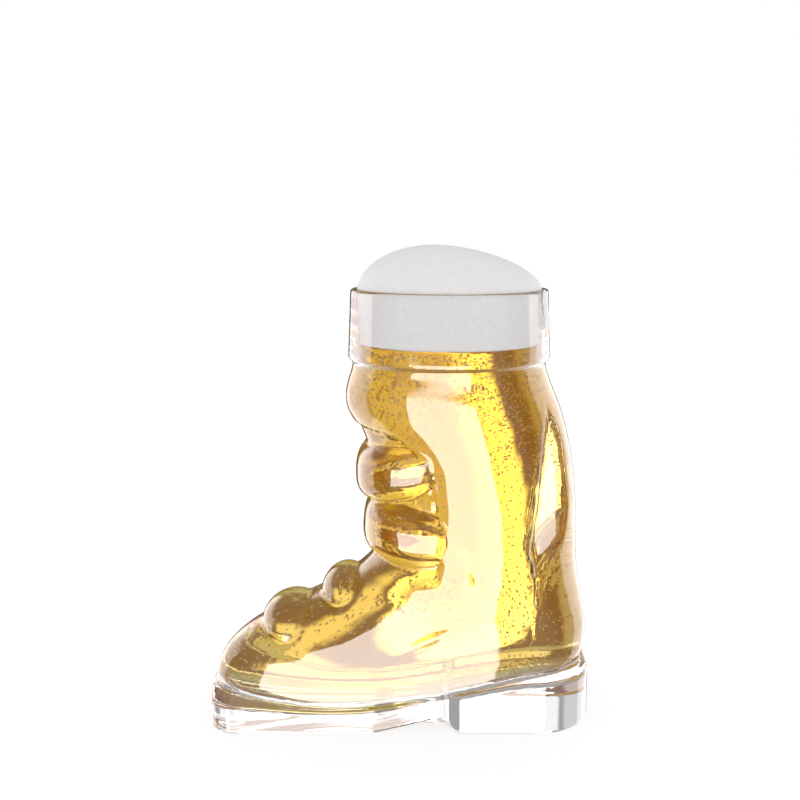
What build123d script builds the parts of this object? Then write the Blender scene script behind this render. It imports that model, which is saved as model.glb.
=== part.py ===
from build123d import *
import os
from math import cos, pi, sin

# A boot-shaped beer glass, filled and topped with foam. Millimetres, +Z up, toe towards -X,
# heel towards +X. The origin is on the floor, in the middle of the glass's length and width.

# Overall sizes
SOLE_LENGTH = 157.5
SOLE_WIDTH = 61.0
RIM_HEIGHT = 176.0
RIM_RADIUS = 39.6
SHAFT_X = 19.7

# Glass walls
WALL = 3.0
LIP = 2.2

# Drinking band round the mouth
BAND_HEIGHT = 28.0
BAND_FLARE = 1.1
BAND_STEP = 1.8
BAND_ROUND = 1.2
BORE_STEP = 0.3
LIP_ROUND = 0.9

# Clear sole
TOE_LEDGE = 1.3
HEEL_LEDGE = 1.2
SOLE_MARGIN = 2.0
TOE_THICKNESS = 11.5
BALL_THICKNESS = 9.2
HEEL_THICKNESS = 21.0
BALL_X = -28.0
TREAD_END_X = -11.0
ARCH_X = 16.0
ARCH_RISE = 4.6
HEEL_BREAST_X = 23.0
HEEL_SEAT_X = 47.0
WAIST_INSET = 1.2
WAIST_EASE = 3.0
TOE_CROWN = 4.0
TOE_CORNER = 9.0
HEEL_CROWN = 8.0
HEEL_CORNER = 20.0
SOLE_BEVEL = 1.2
LEDGE_ROUND = 0.8

# How far the beer's bed lies below the sole's top
FOOTBED_DROP = 1.0

# Buckle and instep bulges: place, tilt, and half sizes along X, Y and Z
UPPER_BUCKLE_X = 4.4
UPPER_BUCKLE_BELOW_NECK = 41.2
UPPER_BUCKLE_TILT = -11.0
UPPER_BUCKLE_HALF = (22.6, 35.2, 14.6)
LOWER_BUCKLE_X = 8.6
LOWER_BUCKLE_BELOW_NECK = 68.6
LOWER_BUCKLE_TILT = 5.5
LOWER_BUCKLE_HALF = (24.0, 35.2, 15.4)
INSTEP_X = -21.8
INSTEP_Z = 49.5
INSTEP_HALF = (11.0, 20.5, 12.0)
VAMP_X = -44.0
VAMP_Z = 37.5
VAMP_HALF = (13.7, 22.5, 11.6)

# Long flat hollow in each side of the heel: its outline, as places behind the shaft's axis
# and above the neck, and how its flat lies
HOLLOW_TOP = (37.9, -21.0)
HOLLOW_FRONT = (33.3, -56.0)
HOLLOW_FOOT = (34.0, -80.5)
HOLLOW_BACK = (45.9, -52.0)
HOLLOW_HALF_WIDTH = 19.8
HOLLOW_TURN = 10.0
HOLLOW_TILT = 3.5

# Beer and foam
BEER_BELOW_RIM = 21.2
FOAM_RISE = 17.4
DOME_EDGE = 1.9
DOME_CROWN = 22.0
RUN_ANGLE = -22.0
RUN_BELOW_RIM = 10.0
RUN_WIDTH = 8.0
RUN_LENGTH = 13.0
RUN_THICKNESS = 0.7

NECK_HEIGHT = RIM_HEIGHT - BAND_HEIGHT
NECK_RADIUS = RIM_RADIUS + BAND_FLARE - BAND_STEP
BEER_LEVEL = RIM_HEIGHT - BEER_BELOW_RIM
TOE_X = -SOLE_LENGTH / 2 + TOE_LEDGE
HEEL_X = SOLE_LENGTH / 2 - HEEL_LEDGE
FOOT_HALF = SOLE_WIDTH / 2 - SOLE_MARGIN
RING_POINTS = 24

# Levels of the upper: height, front, back, half width and squareness of the plan (2 is an ellipse).
# Foot levels hang on the toe, the heel and the sole's width, shaft levels on the shaft's axis and neck.
FOOT_LEVELS = [
    (0.0, TOE_X + 4.0, HEEL_X - 9.0, FOOT_HALF - 4.0, 2.9),
    (11.0, TOE_X + 0.2, HEEL_X - 4.5, FOOT_HALF - 0.8, 2.8),
    (22.0, TOE_X + 1.8, HEEL_X - 1.8, FOOT_HALF + 0.4, 2.7),
    (31.0, TOE_X + 8.8, HEEL_X - 0.3, FOOT_HALF + 1.4, 2.6),
    (39.0, TOE_X + 20.5, HEEL_X, FOOT_HALF + 2.0, 2.5),
    (46.0, TOE_X + 33.5, HEEL_X - 0.8, FOOT_HALF + 2.6, 2.4),
    (53.0, TOE_X + 49.5, HEEL_X - 2.2, FOOT_HALF + 3.2, 2.3),
    (60.0, TOE_X + 60.5, HEEL_X - 3.6, FOOT_HALF + 4.0, 2.2),
]
SHAFT_LEVELS = [
    (NECK_HEIGHT - 77.0, SHAFT_X - 29.6, SHAFT_X + 53.0, NECK_RADIUS - 3.8, 2.15),
    (NECK_HEIGHT - 59.0, SHAFT_X - 27.6, SHAFT_X + 52.3, NECK_RADIUS - 2.4, 2.1),
    (NECK_HEIGHT - 45.0, SHAFT_X - 30.0, SHAFT_X + 51.5, NECK_RADIUS - 1.0, 2.0),
    (NECK_HEIGHT - 29.0, SHAFT_X - 36.8, SHAFT_X + 48.4, NECK_RADIUS + 0.2, 2.0),
    (NECK_HEIGHT - 15.0, SHAFT_X - 41.5, SHAFT_X + 43.8, NECK_RADIUS + 0.6, 2.0),
    (NECK_HEIGHT - 6.5, SHAFT_X - 40.0, SHAFT_X + 40.2, NECK_RADIUS + 0.3, 2.0),
    (NECK_HEIGHT, SHAFT_X - NECK_RADIUS, SHAFT_X + NECK_RADIUS, NECK_RADIUS, 2.0),
]


def power(value, exponent):
    """A signed power, which squares off an ellipse."""
    return abs(value) ** exponent * (1 if value >= 0 else -1)


def level_ring(height, front, back, half_width, squareness, inset):
    """One closed section of the upper, pulled in by inset."""
    middle = (front + back) / 2
    half_length = (back - front) / 2 - inset
    half_width = half_width - inset
    points = []
    for i in range(RING_POINTS):
        turn = 2 * pi * i / RING_POINTS
        points.append((
            middle + half_length * power(cos(turn), 2 / squareness),
            half_width * power(sin(turn), 2 / squareness),
            height,
        ))
    return Face(Wire(Spline(*points, periodic=True)))


def egg(half, grow):
    """An ellipsoid with its half sizes grown by grow."""
    return scale(Sphere(1.0), by=(half[0] + grow, half[1] + grow, half[2] + grow))


def side_view(places):
    """Places behind the shaft's axis and above the neck, as points of the side view."""
    return [(SHAFT_X + behind, NECK_HEIGHT + above) for behind, above in places]


def grown(face, amount):
    """A face, its outline moved outwards by amount."""
    return offset(face, amount) if amount else face


def heel_hollow(side, inset):
    """What the long hollow takes from one side of the heel."""
    top, front, foot, back = side_view([HOLLOW_TOP, HOLLOW_FRONT, HOLLOW_FOOT, HOLLOW_BACK])
    leaf = make_face(ThreePointArc(top, front, foot) + ThreePointArc(foot, back, top))
    place = Pos(back[0], side * HOLLOW_HALF_WIDTH, back[1])
    place = place * Rot(0, 0, -side * HOLLOW_TURN) * Rot(side * HOLLOW_TILT, 0, 0)
    outside = Pos(0, side * (SOLE_WIDTH / 2 - inset), 0) * Box(SOLE_WIDTH, SOLE_WIDTH, RIM_HEIGHT)
    return across(grown(leaf, inset)) & place * outside


def boot_form(inset):
    """The upper as a solid form, its skin pulled in by inset."""
    upper_buckle = Pos(UPPER_BUCKLE_X, 0, NECK_HEIGHT - UPPER_BUCKLE_BELOW_NECK)
    lower_buckle = Pos(LOWER_BUCKLE_X, 0, NECK_HEIGHT - LOWER_BUCKLE_BELOW_NECK)
    form = loft([level_ring(*level, inset) for level in FOOT_LEVELS + SHAFT_LEVELS])
    form += upper_buckle * Rot(0, UPPER_BUCKLE_TILT, 0) * egg(UPPER_BUCKLE_HALF, -inset)
    form += lower_buckle * Rot(0, LOWER_BUCKLE_TILT, 0) * egg(LOWER_BUCKLE_HALF, -inset)
    form += Pos(INSTEP_X, 0, INSTEP_Z) * egg(INSTEP_HALF, -inset)
    form += Pos(VAMP_X, 0, VAMP_Z) * egg(VAMP_HALF, -inset)
    for side in (-1, 1):
        form -= heel_hollow(side, inset)
    return form


def footbed_line(drop):
    """The side view of the surface under the foot, low at the ball and high at the heel."""
    return Spline(
        (-SOLE_LENGTH / 2 - WALL, TOE_THICKNESS - drop),
        (BALL_X, BALL_THICKNESS - drop),
        (HEEL_SEAT_X, HEEL_THICKNESS - drop),
        (SOLE_LENGTH / 2 + WALL, HEEL_THICKNESS - drop),
        tangents=((1, 0), (1, 0)),
    )


def across(profile):
    """A side view swept across the boot."""
    return Pos(0, SOLE_WIDTH, 0) * extrude(Plane.XZ * profile, 2 * SOLE_WIDTH)


def under_footbed(drop):
    """Everything lower than the footbed."""
    line = footbed_line(drop)
    rest = Polyline(line @ 1, ((line @ 1).X, -WALL), ((line @ 0).X, -WALL), line @ 0)
    return across(make_face(line + rest))


def turned(profile):
    """A profile of radius and height, turned round the shaft's axis."""
    return Pos(SHAFT_X, 0, 0) * revolve(Plane.XZ * profile, Axis.Z)


def bore_radius(height):
    """The inside radius of the band, which widens from the neck to the lip."""
    neck = NECK_RADIUS - WALL + BORE_STEP
    share = (height - NECK_HEIGHT) / BAND_HEIGHT
    return neck + share * (RIM_RADIUS - LIP - neck)


def band_radius(height):
    """The outside radius of the band, which flares towards its foot."""
    return RIM_RADIUS + BAND_FLARE * (RIM_HEIGHT - height) / BAND_HEIGHT


def make_rim_band():
    """The drinking band: a ring with a rounded lip and a rounded, stepped foot."""
    corners = [
        (bore_radius(NECK_HEIGHT), NECK_HEIGHT),
        (band_radius(NECK_HEIGHT), NECK_HEIGHT),
        (band_radius(RIM_HEIGHT), RIM_HEIGHT),
        (bore_radius(RIM_HEIGHT), RIM_HEIGHT),
    ]
    profile = make_face(Polyline(*corners, close=True))
    profile = fillet(profile.vertices().group_by(Axis.Y)[-1], LIP_ROUND)
    foot_corner = profile.vertices().sort_by_distance((band_radius(NECK_HEIGHT), NECK_HEIGHT))[:1]
    return turned(fillet(foot_corner, BAND_ROUND))


def make_glass_sole(upper_form):
    """The clear sole: its plan and its side view crossed, with the upper's seat cut out."""
    half_length = SOLE_LENGTH / 2
    half_width = SOLE_WIDTH / 2
    side = [
        (-half_length + TOE_CROWN, half_width),
        (TREAD_END_X - WAIST_EASE, half_width),
        (ARCH_X, half_width - WAIST_INSET),
        (HEEL_BREAST_X + WAIST_EASE, half_width),
        (half_length - HEEL_CROWN, half_width),
    ]
    other_side = [(x, -y) for x, y in side]
    toe = ThreePointArc(side[0], (-half_length, 0), other_side[0])
    heel = ThreePointArc(side[-1], (half_length, 0), other_side[-1])
    plan = make_face(toe + heel + Polyline(*side) + Polyline(*other_side))
    plan = fillet(plan.vertices().group_by(Axis.X)[0], TOE_CORNER)
    plan = fillet(plan.vertices().group_by(Axis.X)[-1], HEEL_CORNER)
    top = footbed_line(0)
    foot = Polyline(
        top @ 1,
        ((top @ 1).X, 0),
        (HEEL_BREAST_X, 0),
        (ARCH_X, ARCH_RISE),
        (TREAD_END_X, 0),
        ((top @ 0).X, 0),
        top @ 0,
    )
    block = extrude(plan, HEEL_THICKNESS + WALL)
    block = fillet(block.edges().group_by(Axis.Z)[0], SOLE_BEVEL)
    sole = block & across(make_face(top + foot))
    ledge = sole.edges().filter_by(lambda e: min(v.Z for v in e.vertices()) > BALL_THICKNESS - FOOTBED_DROP)
    sole = fillet(ledge, LEDGE_ROUND)
    return sole - upper_form


def make_beer(cavity):
    """The beer: the whole inside of the boot and the band's bore, up to its level."""
    bore = [
        (0, NECK_HEIGHT),
        (bore_radius(NECK_HEIGHT), NECK_HEIGHT),
        (bore_radius(BEER_LEVEL), BEER_LEVEL),
        (0, BEER_LEVEL),
    ]
    return cavity + turned(make_face(Polyline(*bore, close=True)))


def make_foam_head():
    """The foam: a plug in the band's bore with a dome above the rim."""
    mouth = bore_radius(RIM_HEIGHT)
    top = RIM_HEIGHT + FOAM_RISE
    sides = Polyline(
        (0, top),
        (0, BEER_LEVEL),
        (bore_radius(BEER_LEVEL), BEER_LEVEL),
        (mouth, RIM_HEIGHT),
    )
    edge_pull = (mouth - DOME_EDGE, RIM_HEIGHT + FOAM_RISE / 2)
    dome = Bezier((mouth, RIM_HEIGHT), edge_pull, (DOME_CROWN, top), (0, top))
    return turned(make_face(sides + dome))


def make_foam_run(band):
    """The run of foam on the outside of the band."""
    shell = [
        (RIM_RADIUS - LIP, RIM_HEIGHT),
        (RIM_RADIUS - LIP, NECK_HEIGHT),
        (band_radius(NECK_HEIGHT) + RUN_THICKNESS, NECK_HEIGHT),
        (band_radius(RIM_HEIGHT) + RUN_THICKNESS, RIM_HEIGHT),
    ]
    drop = scale(Sphere(1.0), by=(RUN_WIDTH, RUN_WIDTH / 2, RUN_LENGTH / 2))
    place = Pos(SHAFT_X, 0, RIM_HEIGHT - RUN_BELOW_RIM) * Rot(0, 0, RUN_ANGLE) * Pos(RIM_RADIUS, 0, 0)
    return (turned(make_face(Polyline(*shell, close=True))) & place * drop) - band


outer = boot_form(0.0) - under_footbed(FOOTBED_DROP + WALL)
inner = boot_form(WALL) - under_footbed(FOOTBED_DROP)
rim_band = make_rim_band()
parts = {
    "boot_upper": outer - inner,
    "rim_band": rim_band,
    "glass_sole": make_glass_sole(outer),
    "beer": make_beer(inner),
    "foam_head": make_foam_head(),
    "foam_run": make_foam_run(rim_band),
}

os.makedirs("parts", exist_ok=True)
for name, part in parts.items():
    export_step(part, f"parts/{name}.step")
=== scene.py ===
import bpy
import math
import numpy as np
from mathutils import Matrix


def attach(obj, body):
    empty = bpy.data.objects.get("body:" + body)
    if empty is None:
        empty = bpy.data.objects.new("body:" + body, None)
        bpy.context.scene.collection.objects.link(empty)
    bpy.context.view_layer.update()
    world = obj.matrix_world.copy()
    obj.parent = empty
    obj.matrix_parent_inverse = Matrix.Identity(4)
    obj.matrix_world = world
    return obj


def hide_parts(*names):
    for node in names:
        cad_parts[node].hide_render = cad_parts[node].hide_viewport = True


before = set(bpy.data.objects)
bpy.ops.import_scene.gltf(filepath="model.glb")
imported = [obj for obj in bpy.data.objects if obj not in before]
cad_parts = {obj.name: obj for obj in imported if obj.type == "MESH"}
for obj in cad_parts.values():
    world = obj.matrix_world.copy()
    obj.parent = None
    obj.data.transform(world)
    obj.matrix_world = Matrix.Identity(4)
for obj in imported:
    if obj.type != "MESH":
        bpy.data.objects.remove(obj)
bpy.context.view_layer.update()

MM = 0.001
DEG = math.pi / 180

# Sizes are in millimetres, in the part's frame: toe towards -X, heel towards +X, +Z up.

# Band, neck and wall
RIM_HEIGHT = 176.0
RIM_RADIUS = 39.6
BAND_HEIGHT = 28.0
BAND_FLARE = 1.1
BAND_FOOT_ROUND = 1.2
BAND_FILLET = 1.6
LIP = 2.2
LIP_ROUND = 0.9
SHAFT_X = 19.7
NECK_HEIGHT = RIM_HEIGHT - BAND_HEIGHT
NECK_BORE = 36.2
NECK_FILLET = 0.5
WALL = 3.0
INSIDE_SOFTNESS = 1.5

# Where upper, cup and bore end near the neck, so that they overlap there
UPPER_REACH = 4
CUP_REACH = 1
CUP_END = NECK_HEIGHT + 6
BORE_START = NECK_HEIGHT - 6
FAR = 1e3

# Levels of the upper: height, front, back, half width, squareness of the plan.
LEVELS = np.array([
    (-4, -73.0, 66.0, 24.0, 2.6),
    (4, -75.5, 69.0, 26.5, 2.6),
    (11, -77.1, 72.0, 28.0, 2.5),
    (16, -77.0, 73.6, 28.6, 2.45),
    (22, -75.2, 75.2, 29.2, 2.4),
    (27, -72.0, 76.4, 29.8, 2.4),
    (31, -68.2, 77.0, 30.2, 2.35),
    (36, -61.6, 77.3, 30.6, 2.35),
    (41, -52.6, 76.9, 31.0, 2.3),
    (46, -42.4, 76.2, 31.4, 2.25),
    (51, -31.6, 75.2, 32.0, 2.25),
    (56, -23.2, 74.4, 32.7, 2.2),
    (62, -16.0, 73.3, 33.5, 2.2),
    (68, -12.6, 72.7, 34.2, 2.15),
    (75, -11.2, 72.4, 34.9, 2.15),
    (83, -10.2, 72.2, 35.7, 2.1),
    (90, -10.4, 72.0, 36.4, 2.1),
    (98, -12.0, 71.4, 37.2, 2.05),
    (106, -14.0, 70.4, 37.9, 2.0),
    (114, -16.4, 69.0, 38.5, 2.0),
    (122, -19.4, 67.0, 38.9, 2.0),
    (128, -21.4, 65.2, 39.1, 2.0),
    (134, -22.0, 62.8, 39.2, 2.0),
    (140, -20.8, 60.4, 39.0, 2.0),
    (145, -19.3, 58.8, 38.9, 2.0),
    (150, -19.2, 58.6, 38.9, 2.0),
    (180, -19.2, 58.6, 38.9, 2.0),
])
UPPER_BOTTOM = 2.0

# The share of an oval's size within which its distances are no longer told apart
CORE = 0.2

# The waist of the foot: share of the width, place, spread, and the heights over which it fades
WAIST_DEPTH = 0.07
WAIST_X = 6
WAIST_SPREAD = 24
WAIST_FADE = (30, 60)

# The cuff's lower edge in the side view, from the shin round to the side and down to the lower buckle.
CUFF_EDGE = [(-40, 122.5), (-16, 122.5), (-9, 122.5), (0, 120.0), (5, 117.0), (9, 113.5), (12.2, 109.0),
             (13.8, 104.0), (14.6, 97.0), (15.0, 88.0), (15.4, 74.0), (15.4, 60.0)]
CUFF_DEPTH = 2.8
CUFF_SLOPE = (-7.0, 0.5)
CUFF_SLOPE_SHARE = 0.35
CUFF_STEP_HALF = 1.2
CUFF_STEP_SHARE = 0.65
CUFF_FADE = (60, 72)

# The buckles are tilted about a pivot and raked in the side view. They lean out towards their tops.
UPPER_BUCKLE = dict(
    middle=(4.4, 0, 105.5), half=(22.4, 35.0, 13.4), plan=2.4, tilt=0.20, pivot=-2, rake=0.0, lean_from=106)
LOWER_BUCKLE = dict(
    middle=(8.6, 0, 80.0), half=(23.8, 35.4, 14.4), plan=2.5, tilt=-0.12, pivot=4, rake=0.08, lean_from=79)
BUCKLE_POWER = 2.9
BUCKLE_LEAN = 0.0058
BUCKLE_LEAN_REACH = 16
BUCKLE_BLEND = 0.6

# The bulges of the foot: middle and half sizes
INSTEP = ((-21.8, 0, 49.5), (11.0, 20.5, 12.0))
VAMP = ((-44.0, 0, 37.5), (13.7, 22.5, 11.6))
BULGE_BLEND = 0.5

# The long hollow beside the heel, in the side view: heights, and where its left and right edges lie.
HOLLOW_LEFT = ((60, 69, 75, 84, 104, 127, 135), (55.5, 53.2, 51.6, 52.4, 54.6, 57.6, 59))
HOLLOW_RIGHT = ((60, 69, 77, 92, 106, 120, 127, 135), (52, 55.5, 62.0, 65.6, 65.2, 61.9, 57.6, 54))
HOLLOW_BACK_X = 65.6
HOLLOW_HALF_WIDTH = 19.8
HOLLOW_TURN = math.tan(math.radians(6))
HOLLOW_TILT = math.tan(math.radians(3.5))
HOLLOW_MIDDLE = 96.0
HOLLOW_FLOOR_ROUND = 0.8
HOLLOW_EDGE_ROUND = 2.6

# The dimples at the ankle and on the side of the foot: place in the side view, slant, spread and depth
ANKLE_DIMPLE = (29.4, 65.5)
ANKLE_SLANT = 0.3
ANKLE_SPREAD = (1.8, 4.2)
ANKLE_DEPTH = 1.0
FOOT_DIMPLE = (11.5, 38.6)
FOOT_SLANT = 0.48
FOOT_SPREAD = (7.5, 1.9)
FOOT_DEPTH = 1.2

# The sole's top under the foot: places along X, and heights.
FOOTBED = ((-82, -60, -44, -28, 0, 18, 32, 48, 64, 82),
           (12.2, 11.2, 10.0, 9.4, 11.3, 14.6, 17.6, 20.4, 21.2, 21.2))
FLOOR_DROP = 1.0
FLOOR_ROUND = 9.0

# The sole
SOLE_HALF_LENGTH = 78.7
SOLE_HALF_WIDTH = 30.5
SOLE_WAIST = 3.2
SOLE_WAIST_X = (-15, 12, 19.5, 24)
TOE_BOW = 4.0
TOE_ROUND = 8.0
HEEL_BOW = 9.0
HEEL_ROUND = 14.0
ARCH_RISE = 4.7
ARCH_X = (-90, -11, 15.5, 22.5, 90)
TREAD_ROUND = 1.2
SOLE_TOP_ROUND = 1.1
SOLE_FILLET = 0.5

# Beer and foam
BEER_LEVEL = 154.8
BEER_EDGE_ROUND = 0.4
OVERLAP = 0.15
BAND_GAP = 0.4
FOAM_DIP = 0.3
FOAM_RISE = 17.4
FOAM_LEAN = 6.2
FOAM_LEAN_POWER = 1.8
DOME_ACROSS_POWER = 1.85
DOME_UP_POWER = 1.7
DOME_LIMIT = 1.3
DOME_SCALE = 37.5
DOME_LEAST_SLOPE = 0.02


# Curves and blends


def smooth_curve(knots, values, at):
    """A smooth curve through values at the knots, read at the given places, and its slope there."""
    knots, values = np.asarray(knots, float), np.asarray(values, float)
    tangents = np.gradient(values, knots)
    i = np.clip(np.searchsorted(knots, at) - 1, 0, len(knots) - 2)
    span = knots[i + 1] - knots[i]
    t = np.clip((at - knots[i]) / span, 0, 1)
    a, b = values[i], values[i + 1]
    ta, tb = tangents[i] * span, tangents[i + 1] * span
    value = (a * (2 * t**3 - 3 * t**2 + 1) + ta * (t**3 - 2 * t**2 + t)
             + b * (3 * t**2 - 2 * t**3) + tb * (t**3 - t**2))
    slope = (a * (6 * t**2 - 6 * t) + ta * (3 * t**2 - 4 * t + 1)
             + b * (6 * t - 6 * t**2) + tb * (3 * t**2 - 2 * t)) / span
    return value, slope


def round_union(a, b, radius):
    """Two forms joined, with a fillet of that radius in the corner between them."""
    corner = np.hypot(np.maximum(radius - a, 0), np.maximum(radius - b, 0))
    return np.maximum(radius, np.minimum(a, b)) - corner


def round_cross(a, b, radius):
    """What two forms share, with the edge between them rounded."""
    corner = np.hypot(np.maximum(a + radius, 0), np.maximum(b + radius, 0))
    return np.minimum(-radius, np.maximum(a, b)) + corner


def barrel(x, y, z, centre, half, power=2.0, plan=2.0):
    """About how far points lie outside an ellipsoid. Powers over 2 flatten its ends, and square its plan."""
    u = np.abs(x - centre[0]) / half[0]
    v = np.abs(y - centre[1]) / half[1]
    w = np.abs(z - centre[2]) / half[2]
    r = np.maximum((u**plan + v**plan)**(1 / plan), 1e-4)
    k = np.maximum((r**power + w**power)**(1 / power), 1e-3)
    round_it = (r / k)**(power - 1)
    along_x = round_it * (u / r)**(plan - 1) / half[0]
    along_y = round_it * (v / r)**(plan - 1) / half[1]
    along_z = (w / k)**(power - 1) / half[2]
    slope = np.sqrt(along_x**2 + along_y**2 + along_z**2)
    return (k - 1) / np.maximum(slope, 1e-3)


def step(value, low, high):
    """0 below low, 1 above high, and a smooth ramp between them."""
    t = np.clip((value - low) / (high - low), 0, 1)
    return t * t * (3 - 2 * t)


def along(x, z, points):
    """Distance from a chain of points in the side view, signed: negative to the right of its direction."""
    best = np.full(np.broadcast(x, z).shape, 1e9)
    sign = np.ones_like(best)
    for (x0, z0), (x1, z1) in zip(points[:-1], points[1:]):
        dx, dz = x1 - x0, z1 - z0
        t = np.clip(((x - x0) * dx + (z - z0) * dz) / (dx * dx + dz * dz), 0, 1)
        gap = np.hypot(x - x0 - t * dx, z - z0 - t * dz)
        side = np.sign(dx * (z - z0) - dz * (x - x0))
        nearer = gap < best
        best = np.where(nearer, gap, best)
        sign = np.where(nearer, side, sign)
    return best * sign


# Forms, each as about how far points lie outside it


def boot_body(x, y, z):
    """The upper without cuff, buckles and bulges: squarish ovals through the levels."""
    knots, fronts, backs, halves, powers = LEVELS.T
    front, front_slope = smooth_curve(knots, fronts, z)
    back, back_slope = smooth_curve(knots, backs, z)
    half, half_slope = smooth_curve(knots, halves, z)
    power, _ = smooth_curve(knots, powers, z)
    waist = 1 - WAIST_DEPTH * np.exp(-((x - WAIST_X) / WAIST_SPREAD)**2) * (1 - step(z, *WAIST_FADE))
    half = half * waist
    middle = (front + back) / 2
    length = (back - front) / 2
    u = np.abs(x - middle) / length
    v = np.abs(y) / half
    g = np.maximum((u**power + v**power)**(1 / power), CORE)
    along_x = u**(power - 1) * g**(1 - power) / length
    along_y = v**(power - 1) * g**(1 - power) / half
    size = np.maximum(np.hypot(along_x, along_y), 1e-4)
    lean = np.where(x < middle, front_slope, -back_slope) * along_x / size
    lean_y = half_slope * along_y / size
    return (g - 1) / size / np.sqrt(1 + lean**2 + lean_y**2)


def cuff_fold(x, z, soft):
    """How far the skin is set back below the cuff's edge: a long slope, and a short step."""
    past_edge = -along(x, z, CUFF_EDGE)
    slope = step(past_edge, *CUFF_SLOPE)
    drop = step(past_edge, -CUFF_STEP_HALF, CUFF_STEP_HALF + soft)
    fold = CUFF_SLOPE_SHARE * slope + CUFF_STEP_SHARE * drop
    return CUFF_DEPTH * fold * step(z, *CUFF_FADE)


def buckle(x, y, z, middle, half, plan, tilt, pivot, rake, lean_from):
    """A squarish buckle, tilted and raked in the side view, and wider towards its top."""
    lean = 1 + BUCKLE_LEAN * np.clip(z - lean_from, -BUCKLE_LEAN_REACH, BUCKLE_LEAN_REACH)
    raked_x = x - rake * (z - lean_from)
    tilted_z = z - tilt * (x - pivot)
    return barrel(raked_x, y / lean, tilted_z, middle, half, BUCKLE_POWER, plan)


def heel_hollow(x, y, z):
    """The flat leaf-shaped hollow on each side of the heel."""
    left, _ = smooth_curve(*HOLLOW_LEFT, z)
    right, _ = smooth_curve(*HOLLOW_RIGHT, z)
    flat = HOLLOW_HALF_WIDTH + HOLLOW_TURN * (HOLLOW_BACK_X - x)
    flat = flat - HOLLOW_TILT * (z - HOLLOW_MIDDLE) - np.abs(y)
    return round_cross(np.maximum(left - x, x - right), flat, HOLLOW_FLOOR_ROUND)


def ankle_dimple(x, z):
    """The small upright dimple at the ankle, 1 where it is deepest."""
    up = z - ANKLE_DIMPLE[1]
    across = x - ANKLE_DIMPLE[0] + ANKLE_SLANT * up
    return np.exp(-(across / ANKLE_SPREAD[0])**2 - (up / ANKLE_SPREAD[1])**2)


def foot_dimple(x, z):
    """The long slanting dimple on the side of the foot, 1 where it is deepest."""
    across = x - FOOT_DIMPLE[0]
    up = (z - FOOT_DIMPLE[1]) - FOOT_SLANT * across
    return np.exp(-(across / FOOT_SPREAD[0])**2 - (up / FOOT_SPREAD[1])**2)


def upper_skin(x, y, z, soft):
    """The upper with all its relief. Soft widens the blends, for the inside of the wall."""
    skin = boot_body(x, y, z) + cuff_fold(x, z, soft)
    for shape in (UPPER_BUCKLE, LOWER_BUCKLE):
        skin = round_union(skin, buckle(x, y, z, **shape), BUCKLE_BLEND + soft)
    for middle, half in (INSTEP, VAMP):
        skin = round_union(skin, barrel(x, y, z, middle, half), BULGE_BLEND + soft)
    skin = round_cross(skin, -heel_hollow(x, y, z), HOLLOW_EDGE_ROUND + soft)
    skin = skin + ANKLE_DEPTH * ankle_dimple(x, z)
    return skin + FOOT_DEPTH * foot_dimple(x, z)


def bore_radius(z):
    """Radius of the band's bore at a height."""
    return NECK_BORE + (z - NECK_HEIGHT) * (RIM_RADIUS - LIP - NECK_BORE) / BAND_HEIGHT


def footbed(x):
    """Height of the sole's top under the foot."""
    return smooth_curve(*FOOTBED, x)[0]


def cavity_skin(x, y, z, grow=0.0, bore_gap=0.0):
    """The room inside wall, footbed and band. Grow widens the cup, and bore_gap narrows the bore."""
    cup = upper_skin(x, y, z, INSIDE_SOFTNESS) + WALL
    cup = round_cross(cup, footbed(x) - FLOOR_DROP - z, FLOOR_ROUND) - grow
    cup = np.where(z > CUP_END, FAR, cup)
    r = np.hypot(x - SHAFT_X, y)
    bore = r - bore_radius(z) + bore_gap
    bore = np.maximum(bore, BORE_START - z)
    return round_union(np.maximum(cup, z - NECK_HEIGHT - CUP_REACH), bore, NECK_FILLET)


def sole_skin(x, y, z):
    """The clear sole: a plan with rounded ends, a flat tread, a raised arch and a heel block."""
    width = SOLE_HALF_WIDTH - SOLE_WAIST * np.interp(x, SOLE_WAIST_X, (0, 1, 1, 0))
    plan = np.abs(y) - width
    toe = -SOLE_HALF_LENGTH + TOE_BOW * (y / SOLE_HALF_WIDTH)**2 - x
    heel = x - (SOLE_HALF_LENGTH - HEEL_BOW * (y / SOLE_HALF_WIDTH)**2)
    plan = round_cross(plan, toe, TOE_ROUND)
    plan = round_cross(plan, heel, HEEL_ROUND)
    under = np.interp(x, ARCH_X, (0, 0, ARCH_RISE, 0, 0)) - z
    top = z - footbed(x)
    body = round_cross(plan, under, TREAD_ROUND)
    return round_cross(body, top, SOLE_TOP_ROUND)


def band_skin(x, y, z):
    """The outside of the drinking band, as a solid plug that the bore opens later."""
    r = np.hypot(x - SHAFT_X, y)
    side = r - (RIM_RADIUS + BAND_FLARE * (RIM_HEIGHT - z) / BAND_HEIGHT)
    return round_cross(side, NECK_HEIGHT - z, BAND_FOOT_ROUND)


def glass_skin(x, y, z):
    """The whole glass: upper, sole and band fused, less the cavity, with a rounded lip."""
    outer = upper_skin(x, y, z, 0.0)
    outer = np.maximum(outer, z - NECK_HEIGHT - UPPER_REACH)
    outer = np.maximum(outer, UPPER_BOTTOM - z)
    outer = round_union(outer, sole_skin(x, y, z), SOLE_FILLET)
    outer = round_union(outer, band_skin(x, y, z), BAND_FILLET)
    outer = round_cross(outer, z - RIM_HEIGHT, LIP_ROUND)
    return round_cross(outer, -cavity_skin(x, y, z), LIP_ROUND)


def beer_skin(x, y, z):
    """The beer: the cavity up to its level, a little into the wall and a little clear of the band."""
    room = cavity_skin(x, y, z, grow=OVERLAP, bore_gap=BAND_GAP)
    return round_cross(room, z - BEER_LEVEL, BEER_EDGE_ROUND)


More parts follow.
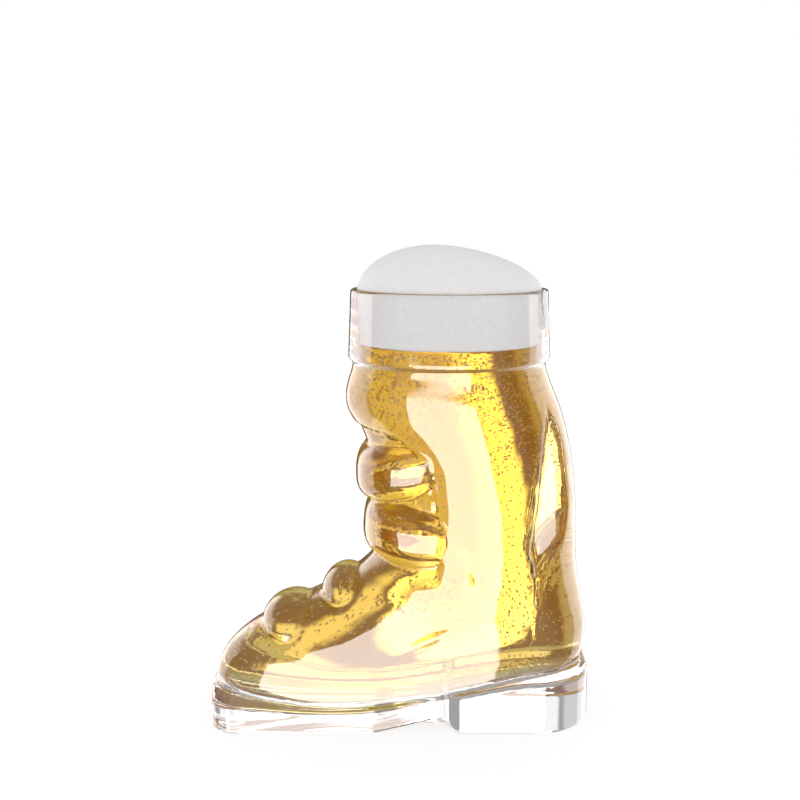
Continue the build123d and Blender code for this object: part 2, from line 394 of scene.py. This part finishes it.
def foam_skin(x, y, z):
    """The foam: a plug in the bore, and a dome that leans towards the toe."""
    r = np.hypot(x - SHAFT_X, y)
    plug = np.maximum(r - bore_radius(z) + BAND_GAP, BEER_LEVEL - FOAM_DIP - z)
    rise = np.clip((z - RIM_HEIGHT) / FOAM_RISE, 0, DOME_LIMIT)
    leaning_x = x - SHAFT_X + FOAM_LEAN * rise**FOAM_LEAN_POWER
    reach = np.hypot(leaning_x, y) / (bore_radius(RIM_HEIGHT) - BAND_GAP)
    across_slope = DOME_ACROSS_POWER * reach**(DOME_ACROSS_POWER - 1) / DOME_SCALE
    up_slope = DOME_UP_POWER * rise**(DOME_UP_POWER - 1) / FOAM_RISE
    slope = np.maximum(np.hypot(across_slope, up_slope), DOME_LEAST_SLOPE)
    dome = (rise**DOME_UP_POWER + reach**DOME_ACROSS_POWER - 1) / slope
    return np.where(z < RIM_HEIGHT, plug, dome)


# Meshes of the forms


def spaced(*runs):
    """Grid lines: each run is a start, an end and a step."""
    lines = [np.arange(start, end, pitch) for start, end, pitch in runs]
    return np.concatenate(lines + [[runs[-1][1]]])


def add_mesh(name, points, faces):
    """A new smooth piece from points in millimetres and faces."""
    mesh = bpy.data.meshes.new(name)
    mesh.from_pydata((points * MM).tolist(), [], faces.tolist())
    mesh.shade_smooth()
    piece = bpy.data.objects.new(name, mesh)
    bpy.context.collection.objects.link(piece)
    return piece


def crossing_points(value, cells, grid):
    """For each cell, the mean of the places where the zero surface crosses the cell's edges."""
    total = np.zeros((len(cells), 3))
    count = np.zeros(len(cells))
    for axis in range(3):
        others = [a for a in range(3) if a != axis]
        for p in (0, 1):
            for q in (0, 1):
                start = cells.copy()
                start[:, others[0]] += p
                start[:, others[1]] += q
                end = start.copy()
                end[:, axis] += 1
                a = value[tuple(start.T)]
                b = value[tuple(end.T)]
                cut = (a < 0) != (b < 0)
                t = np.where(cut, a / np.where(cut, a - b, 1), 0)
                for d in range(3):
                    lines = grid[d]
                    place = lines[start[:, d]] + t * (lines[end[:, d]] - lines[start[:, d]])
                    total[:, d] += np.where(cut, place, 0)
                count += cut
    return total / count[:, None]


def pull_to_skin(points, field, rounds=4, size=0.02, flattest=0.05, furthest=0.4):
    """Points moved onto the field's zero surface along its slope, in rounds of limited moves."""
    for _ in range(rounds):
        here = field(*points.T)
        rises = [field(*(points + shift).T) - field(*(points - shift).T) for shift in size * np.eye(3)]
        slope = np.stack(rises, axis=1) / (2 * size)
        move = here[:, None] * slope / np.maximum((slope**2).sum(axis=1), flattest)[:, None]
        length = np.maximum(np.linalg.norm(move, axis=1), 1e-9)
        points = points - move * np.minimum(1, furthest / length)[:, None]
    return points


def skin_faces(inside, index):
    """A quad round each grid edge that the surface crosses, facing outwards."""
    faces = []
    for axis in range(3):
        a = np.moveaxis(inside, axis, 0)
        change = np.argwhere(a[:-1] != a[1:])
        order = [axis] + [d for d in range(3) if d != axis]
        corner = np.empty_like(change)
        for n, d in enumerate(order):
            corner[:, d] = change[:, n]
        ring = []
        for p, q in ((-1, -1), (0, -1), (0, 0), (-1, 0)):
            cell = corner.copy()
            cell[:, order[1]] += p
            cell[:, order[2]] += q
            ring.append(index[tuple(cell.T)])
        quad = np.stack(ring, axis=1)
        going_out = inside[tuple(corner.T)]
        flip = going_out if axis != 1 else ~going_out
        faces.append(np.where(flip[:, None], quad, quad[:, ::-1]))
    return np.concatenate(faces)


def skin_mesh(name, field, xs, ys, zs):
    """A closed mesh of the zero surface of a field, one point in each grid cell that it crosses."""
    value = np.empty((len(xs), len(ys), len(zs)))
    gx, gy = np.meshgrid(xs, ys, indexing="ij")
    for k in range(len(zs)):
        value[:, :, k] = field(gx, gy, np.full_like(gx, zs[k]))
    inside = value < 0
    corners = [inside[i:len(xs) - 1 + i, j:len(ys) - 1 + j, k:len(zs) - 1 + k]
               for i in (0, 1) for j in (0, 1) for k in (0, 1)]
    some = np.logical_or.reduce(corners)
    every = np.logical_and.reduce(corners)
    cells = np.argwhere(some & ~every)
    index = np.full(some.shape, -1)
    index[tuple(cells.T)] = np.arange(len(cells))
    points = pull_to_skin(crossing_points(value, cells, (xs, ys, zs)), field)
    return add_mesh(name, points, skin_faces(inside, index))


# Materials


def principled(name, **values):
    """A new material whose Principled BSDF has these plain values."""
    material = bpy.data.materials.new(name)
    material.use_nodes = True
    shader = material.node_tree.nodes["Principled BSDF"]
    for socket, value in values.items():
        shader.inputs[socket.replace("_", " ")].default_value = value
    return material, shader


def colour_sockets(sockets):
    """The colour sockets among a node's inputs or outputs."""
    return [socket for socket in sockets if socket.type == "RGBA"]


def make_beer_gold():
    """Clear golden beer, which takes up blue and some green on the way through."""
    material, _ = principled(
        "beer_gold", Base_Color=(1, 1, 1, 1), Roughness=0.0, IOR=1.34, Transmission_Weight=1.0)
    nodes, links = material.node_tree.nodes, material.node_tree.links
    absorb = nodes.new("ShaderNodeVolumeAbsorption")
    absorb.inputs["Color"].default_value = (0.984, 0.832, 0.09, 1)
    absorb.inputs["Density"].default_value = 45.0
    links.new(absorb.outputs["Volume"], nodes["Material Output"].inputs["Volume"])
    return material


def make_foam_white():
    """White foam, with a fine grain drawn out upwards in its tone and its relief."""
    material, shader = principled("foam_white", Base_Color=(0.86, 0.85, 0.84, 1), Roughness=0.6)
    nodes, links = material.node_tree.nodes, material.node_tree.links
    place = nodes.new("ShaderNodeTexCoord")
    fine = nodes.new("ShaderNodeMapping")
    fine.inputs["Scale"].default_value = (1.0, 1.0, 0.35)
    links.new(place.outputs["Object"], fine.inputs["Vector"])
    froth = nodes.new("ShaderNodeTexNoise")
    froth.inputs["Scale"].default_value = 900.0
    froth.inputs["Detail"].default_value = 3.0
    links.new(fine.outputs["Vector"], froth.inputs["Vector"])
    tone = nodes.new("ShaderNodeMapRange")
    tone.inputs["From Min"].default_value = 0.3
    tone.inputs["From Max"].default_value = 0.7
    links.new(froth.outputs["Fac"], tone.inputs["Value"])
    colour = nodes.new("ShaderNodeMix")
    colour.data_type = "RGBA"
    shade, light = colour_sockets(colour.inputs)
    shade.default_value = (0.85, 0.84, 0.835, 1)
    light.default_value = (0.91, 0.905, 0.90, 1)
    links.new(tone.outputs["Result"], colour.inputs["Factor"])
    links.new(colour_sockets(colour.outputs)[0], shader.inputs["Base Color"])
    bump = nodes.new("ShaderNodeBump")
    bump.inputs["Strength"].default_value = 0.35
    bump.inputs["Distance"].default_value = 0.0006
    links.new(froth.outputs["Fac"], bump.inputs["Height"])
    links.new(bump.outputs["Normal"], shader.inputs["Normal"])
    return material


clear_glass, _ = principled(
    "clear_glass", Base_Color=(1, 1, 1, 1), Roughness=0.0, IOR=1.5, Transmission_Weight=1.0)
beer_gold = make_beer_gold()
gas, _ = principled("gas", Base_Color=(1, 1, 1, 1), Roughness=0.0, IOR=1.6, Transmission_Weight=0.85)
beer_film, _ = principled(
    "beer_film", Base_Color=(0.42, 0.27, 0.06, 1), Roughness=0.15, IOR=1.34, Transmission_Weight=0.5)
foam_white = make_foam_white()


# Glass, beer and foam, on grids that are finer at tread, neck, lip and surfaces

glass = skin_mesh(
    "boot_glass", glass_skin,
    spaced((-81, 81, 1.3)),
    spaced((-43, 43, 1.3)),
    spaced((-1, 3, 0.6), (3, 24, 1.15), (24, 144, 1.3), (144, 152, 0.8), (152, 172, 1.5), (172, 178, 0.5)),
)
glass.data.materials.append(clear_glass)
beer = skin_mesh(
    "beer", beer_skin,
    spaced((-81, 81, 1.5)),
    spaced((-43, 43, 1.5)),
    spaced((4, 152, 1.5), (152, 157, 0.6)),
)
beer.data.materials.append(beer_gold)
foam = skin_mesh(
    "foam_head", foam_skin,
    spaced((-20, 60, 1.2)),
    spaced((-40, 40, 1.2)),
    spaced((153.5, 157, 0.7), (157, 173, 1.6), (173, 196, 0.8)),
)
foam.data.materials.append(foam_white)


# Gas in the beer

# Each swarm has a crowd near the wall and a thinner one through the whole depth. For each: how many,
# lowest and highest place, how much they crowd upwards, and least and most distance from the wall.
MIST = ((3300, 106, 153, 2.0, 0.5, 2.2), (900, 100, 153, 1.8, 1.0, 40))
MIST_RADII = (0.24, 0.42)
RISERS = ((900, 62, 118, 1.6, 0.6, 2.4), (160, 62, 118, 1.4, 1.0, 40))
RISER_RADII = (0.28, 0.48)
SPARKS = ((1100, 14, 66, 1.0, 0.6, 2.6), (240, 14, 66, 1.0, 1.0, 40))
SPARK_RADII = (0.24, 0.40)
SPARK_STRETCH = 2.4
SPARK_SOURCE = (38, 0, 78)

# The box in which places are tried, with its height as a share, and how many are tried for each one wanted
TRY_LOW = (-74, -37, 0)
TRY_HIGH = (75, 37, 1)
TRIES = 6

random = np.random.default_rng(11)


def beer_points(count, low, high, crowd, nearest, farthest):
    """Random places in the beer between two heights, crowded towards the upper, so far from its wall."""
    kept = np.empty((0, 3))
    while len(kept) < count:
        points = random.uniform(TRY_LOW, TRY_HIGH, (TRIES * count, 3))
        points[:, 2] = low + (high - low) * points[:, 2]**(1 / crowd)
        depth = -cavity_skin(*points.T)
        kept = np.concatenate([kept, points[(depth > nearest) & (depth < farthest)]])
    return kept[:count]


def bubble_mesh(name, centres, radii, stretch, source):
    """Bubbles as one mesh, each drawn out away from a source by stretch."""
    bpy.ops.mesh.primitive_ico_sphere_add(subdivisions=1, radius=1)
    ball = bpy.context.object
    shape = np.array([vertex.co[:] for vertex in ball.data.vertices])
    sides = np.array([side.vertices[:] for side in ball.data.polygons])
    bpy.data.objects.remove(ball)
    away = centres - np.array(source)
    away /= np.linalg.norm(away, axis=1)[:, None]
    along_it = (shape[None] * away[:, None]).sum(axis=2)
    shapes = shape[None] + (stretch - 1) * along_it[:, :, None] * away[:, None]
    points = centres[:, None] + radii[:, None, None] * shapes
    faces = sides[None] + len(shape) * np.arange(len(centres))[:, None, None]
    piece = add_mesh(name, points.reshape(-1, 3), faces.reshape(-1, 3))
    piece.data.materials.append(gas)
    return piece


def swarm(name, crowds, radii, stretch=1.0, source=(0, 0, 0)):
    """One piece of gas bubbles, with random places in each crowd and then random radii."""
    centres = np.concatenate([beer_points(*crowd) for crowd in crowds])
    return bubble_mesh(name, centres, random.uniform(*radii, len(centres)), stretch, source)


fine_bubbles = swarm("fine_bubbles", MIST, MIST_RADII)
bubbles = swarm("bubbles", RISERS, RISER_RADII)
foot_bubbles = swarm("foot_bubbles", SPARKS, SPARK_RADII, SPARK_STRETCH, SPARK_SOURCE)


# The run of foam over the rim

# Each blob of the run: how far to the side, how far below the rim, half width and half height.
RUN_BLOBS = ((-2.6, 2.8, 2.7, 3.4), (-0.6, 7.0, 3.6, 4.4), (1.2, 11.6, 4.4, 4.2), (3.6, 13.2, 2.4, 2.6))
RUN_HALF_THICKNESS = 0.7
RUN_TURN = math.radians(-21)

blobs = []
for aside, drop, half_width, half_height in RUN_BLOBS:
    bpy.ops.mesh.primitive_uv_sphere_add(segments=32, ring_count=20, radius=MM)
    blob = bpy.context.object
    outward = BAND_FLARE * drop / BAND_HEIGHT
    blob.data.transform(Matrix.Diagonal((RUN_HALF_THICKNESS, half_width, half_height, 1)))
    blob.data.transform(Matrix.Translation((outward * MM, aside * MM, -drop * MM)))
    blobs.append(blob)
for blob in blobs:
    blob.select_set(True)
bpy.ops.object.join()
foam_run = bpy.context.object
foam_run.name = "foam_run"
turn = Matrix.Rotation(RUN_TURN, 4, "Z")
to_side = Matrix.Translation((RIM_RADIUS * MM, 0, 0))
to_rim = Matrix.Translation((SHAFT_X * MM, 0, RIM_HEIGHT * MM))
foam_run.data.transform(to_rim @ turn @ to_side)
foam_run.data.materials.append(foam_white)
foam_run.data.shade_smooth()


# The film of beer between foam and lip

FILM_INSET = 0.1
FILM_DROP = 0.3
FILM_THICKNESS_RADIUS = 0.35

bpy.ops.mesh.primitive_torus_add(
    major_radius=(bore_radius(RIM_HEIGHT) - FILM_INSET) * MM, minor_radius=FILM_THICKNESS_RADIUS * MM,
    major_segments=160, minor_segments=10)
film = bpy.context.object
film.name = "beer_film"
film.data.transform(Matrix.Translation((SHAFT_X * MM, 0, (RIM_HEIGHT - FILM_DROP) * MM)))
film.data.materials.append(beer_film)
film.data.shade_smooth()


# What each piece rides on and stands for, with a name for what it is made of that nothing reads

for piece, replaced, slot in (
    (glass, ("boot_upper", "rim_band", "glass_sole"), "clear_glass"),
    (beer, ("beer",), "beer"),
    (foam, ("foam_head",), "foam"),
    (foam_run, ("foam_run",), "foam"),
    (fine_bubbles, (), "beer"),
    (bubbles, (), "beer"),
    (foot_bubbles, (), "beer"),
    (film, (), "beer"),
):
    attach(piece, "root")
    if replaced:
        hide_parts(*replaced)


# Floor

# Most of it glows, and the rest is a plain surface that takes shadows. Bounced rays don't see it.
# Its size is in metres.
FLOOR_SIZE = 8
FLOOR_GLOW = 1.1
FLOOR_SURFACE_SHARE = 0.25

bpy.ops.mesh.primitive_plane_add(size=FLOOR_SIZE)
floor = bpy.context.object
floor.name = "floor"
floor_white, floor_shader = principled("floor_white", Base_Color=(0.9, 0.9, 0.9, 1), Roughness=0.9)
floor_shader.inputs["Specular IOR Level"].default_value = 0.0
floor_nodes, floor_links = floor_white.node_tree.nodes, floor_white.node_tree.links
glow = floor_nodes.new("ShaderNodeEmission")
glow.inputs["Strength"].default_value = FLOOR_GLOW
mix = floor_nodes.new("ShaderNodeMixShader")
mix.inputs[0].default_value = FLOOR_SURFACE_SHARE
floor_links.new(glow.outputs[0], mix.inputs[1])
floor_links.new(floor_shader.outputs[0], mix.inputs[2])
floor_links.new(mix.outputs[0], floor_nodes["Material Output"].inputs["Surface"])
floor.data.materials.append(floor_white)
floor.visible_glossy = False
floor.visible_transmission = False
floor.visible_diffuse = False


# Camera, in metres and degrees

CAMERA_PLACE = (0, -0.447, 0.205)
CAMERA_LOOKS_DOWN = 9.45

camera_data = bpy.data.cameras.new("camera")
camera_data.lens = 50
camera_data.sensor_width = 36
camera = bpy.data.objects.new("camera", camera_data)
camera.location = CAMERA_PLACE
camera.rotation_euler = (math.radians(90 - CAMERA_LOOKS_DOWN), 0, 0)
bpy.context.collection.objects.link(camera)
bpy.context.scene.camera = camera


# The studio: a world that differs for plain, reflected and refracted rays

# What refracted rays see
BACK_LIGHT = 0.58
BACK_EDGE_LIGHT = 1.4
TOP_LIGHT = 0.62
SIDE_LIGHT = 0.3
FLOOR_LIGHT = 0.9
UPPER_WALL_LIGHT = 0.36
OUTER_WALL_LIGHT = 0.7
DARK_WALL_LIGHT = 0.26
DARK_WALL_TINT = (1.0, 0.64, 0.46, 1)

# What reflected rays see
FLANK_LIGHT = 2.7
SOFTBOX_LIGHT = 13.0
REFLECTED_BASE = 0.05
REFLECTED_TINT = (1.0, 0.93, 0.91, 1)

# What all other rays see, with what is added for the camera and for light that enters through glass
PLAIN_LIGHT = 0.93
CAMERA_EXTRA = 0.07
LIT_THROUGH_EXTRA = 0.6

# The height below which the back panel slants aside, and the side panels' middle, in degrees
SLANT_FROM = -13
SLANT = 1.2
SIDE_MIDDLE = 6

# The soft box's limits across and upwards, and their softness, as shares of its distance
SOFTBOX_ACROSS = (-1.05, 0.43, 0.03)
SOFTBOX_UP = (-1.5, -0.09, 0.03)

world = bpy.data.worlds.new("studio")
bpy.context.scene.world = world
world.use_nodes = True
tree = world.node_tree


def node(kind, **settings):
    """A new node of the world, with these settings."""
    made = tree.nodes.new(kind)
    for key, value in settings.items():
        setattr(made, key, value)
    return made


def math_node(operation, *values):
    """The result of a Math node: each value is a number or another node's output."""
    made = node("ShaderNodeMath", operation=operation)
    for socket, value in zip(made.inputs, values):
        if isinstance(value, (int, float)):
            socket.default_value = value
        else:
            tree.links.new(value, socket)
    return made.outputs[0]


def ramp(value, low, high, start, end):
    """A smooth ramp from start, where the value is low, to end, where it is high."""
    made = node("ShaderNodeMapRange", interpolation_type="SMOOTHSTEP")
    tree.links.new(value, made.inputs["Value"])
    made.inputs["From Min"].default_value = low
    made.inputs["From Max"].default_value = high
    made.inputs["To Min"].default_value = start
    made.inputs["To Max"].default_value = end
    return made.outputs[0]


def between(value, low, high, soft):
    """1 where the value lies between two limits, with soft borders."""
    ramp_up = ramp(value, low - soft, low + soft, 0, 1)
    ramp_down = ramp(value, high - soft, high + soft, 1, 0)
    return math_node("MULTIPLY", ramp_up, ramp_down)


def angle_between(angle, low, high, soft):
    """1 where an angle lies between two limits in degrees, with soft borders."""
    return between(angle, low * DEG, high * DEG, soft * DEG)


def panel(turn, sides, heights):
    """1 within a panel. Sides and heights are each two limits and a softness, in degrees."""
    return math_node("MULTIPLY", angle_between(turn, *sides), angle_between(elevation, *heights))


direction = node("ShaderNodeSeparateXYZ")
tree.links.new(node("ShaderNodeTexCoord").outputs["Generated"], direction.inputs[0])
dx, dy, dz = direction.outputs
azimuth = math_node("ARCTAN2", dx, dy)
turned = math_node("ABSOLUTE", azimuth)
elevation = math_node("ARCSINE", dz)
path = node("ShaderNodeLightPath").outputs

# Behind the object: bright panels, and the walls round them
below = math_node("MAXIMUM", math_node("SUBTRACT", SLANT_FROM * DEG, elevation), 0.0)
slanted = math_node("MULTIPLY_ADD", below, -SLANT, azimuth)
off_middle = math_node("ABSOLUTE", math_node("SUBTRACT", azimuth, SIDE_MIDDLE * DEG))
back_panel = panel(slanted, (-8.5, 30, 1.5), (-23, 21, 1))
top_panel = panel(azimuth, (-14, 12, 1.5), (19, 32, 2))
side_panel = panel(off_middle, (24, 75, 2), (-30, 30, 4))
floor_panel = panel(azimuth, (-6, 14, 3), (-36, -26, 2))
edge_glow = angle_between(slanted, -90, 1, 4)
back_glow = math_node("MULTIPLY_ADD", edge_glow, BACK_EDGE_LIGHT, BACK_LIGHT)
back_light = math_node("MULTIPLY", back_panel, back_glow)
upper_wall = angle_between(elevation, 13, 100, 3)
front_wall = angle_between(turned, 112, 200, 10)
near_floor = angle_between(elevation, -100, -64, 4)
outer_wall = math_node("MAXIMUM", front_wall, near_floor)
inner_wall = math_node("MULTIPLY", upper_wall, math_node("SUBTRACT", 1.0, outer_wall))
seen_through = math_node("MULTIPLY", inner_wall, UPPER_WALL_LIGHT)
for lit, light in (
    (back_light, 1.0),
    (top_panel, TOP_LIGHT),
    (side_panel, SIDE_LIGHT),
    (floor_panel, FLOOR_LIGHT),
    (outer_wall, OUTER_WALL_LIGHT),
):
    seen_through = math_node("MULTIPLY_ADD", lit, light, seen_through)
pale_wall = math_node("MAXIMUM", upper_wall, outer_wall)
dark_wall = math_node("MULTIPLY_ADD", pale_wall, -DARK_WALL_LIGHT, DARK_WALL_LIGHT)

# In the glass's reflections: a soft box on the camera's side, and a flank to the left and right
flank = panel(turned, (21, 80, 3), (-60, 20, 6))
ahead = math_node("MULTIPLY", dy, -1.0)
distance = math_node("MAXIMUM", ahead, 0.01)
box_x = math_node("DIVIDE", dx, distance)
box_z = math_node("DIVIDE", dz, distance)
softbox = math_node("MULTIPLY", between(box_x, *SOFTBOX_ACROSS), between(box_z, *SOFTBOX_UP))
softbox = math_node("MULTIPLY", softbox, math_node("GREATER_THAN", ahead, 0.0))
flank_light = math_node("MULTIPLY", flank, FLANK_LIGHT)
softbox_light = math_node("MULTIPLY", softbox, SOFTBOX_LIGHT)
reflected = math_node("ADD", math_node("ADD", flank_light, softbox_light), REFLECTED_BASE)

# Which kind of ray it is. From glass are both the rays that it refracts and those that bounce off it.
clear = math_node("LESS_THAN", path["Diffuse Depth"], 0.5)
refracted = math_node("MULTIPLY", path["Is Transmission Ray"], clear)
from_glass = math_node("MULTIPLY", path["Is Glossy Ray"], clear)
bounced = math_node("SUBTRACT", from_glass, refracted)
lit_through = math_node("SUBTRACT", path["Is Transmission Ray"], refracted)

# The light that each kind sees
through = math_node("MULTIPLY", refracted, seen_through)
glossy = math_node("MULTIPLY", bounced, reflected)
level = math_node("MULTIPLY_ADD", lit_through, LIT_THROUGH_EXTRA, PLAIN_LIGHT)
level = math_node("MULTIPLY_ADD", path["Is Camera Ray"], CAMERA_EXTRA, level)
plain = math_node("MULTIPLY", math_node("SUBTRACT", 1.0, from_glass), level)
strength = math_node("ADD", math_node("ADD", glossy, through), plain)

# Two backgrounds added: the plain one, tinted for reflections, and the warm dark wall
background = tree.nodes["Background"]
tree.links.new(strength, background.inputs["Strength"])
tint = node("ShaderNodeMix", data_type="RGBA")
tree.links.new(bounced, tint.inputs["Factor"])
tint_plain, tint_bounced = colour_sockets(tint.inputs)
tint_plain.default_value = (1, 1, 1, 1)
tint_bounced.default_value = REFLECTED_TINT
tree.links.new(colour_sockets(tint.outputs)[0], background.inputs["Color"])
warm = node("ShaderNodeBackground")
warm.inputs["Color"].default_value = DARK_WALL_TINT
tree.links.new(math_node("MULTIPLY", refracted, dark_wall), warm.inputs["Strength"])
both = node("ShaderNodeAddShader")
tree.links.new(background.outputs[0], both.inputs[0])
tree.links.new(warm.outputs[0], both.inputs[1])
tree.links.new(both.outputs[0], tree.nodes["World Output"].inputs["Surface"])


# Render settings

scene = bpy.context.scene
scene.view_settings.view_transform = "Standard"
scene.cycles.max_bounces = 32
scene.cycles.transmission_bounces = 32
scene.cycles.glossy_bounces = 16
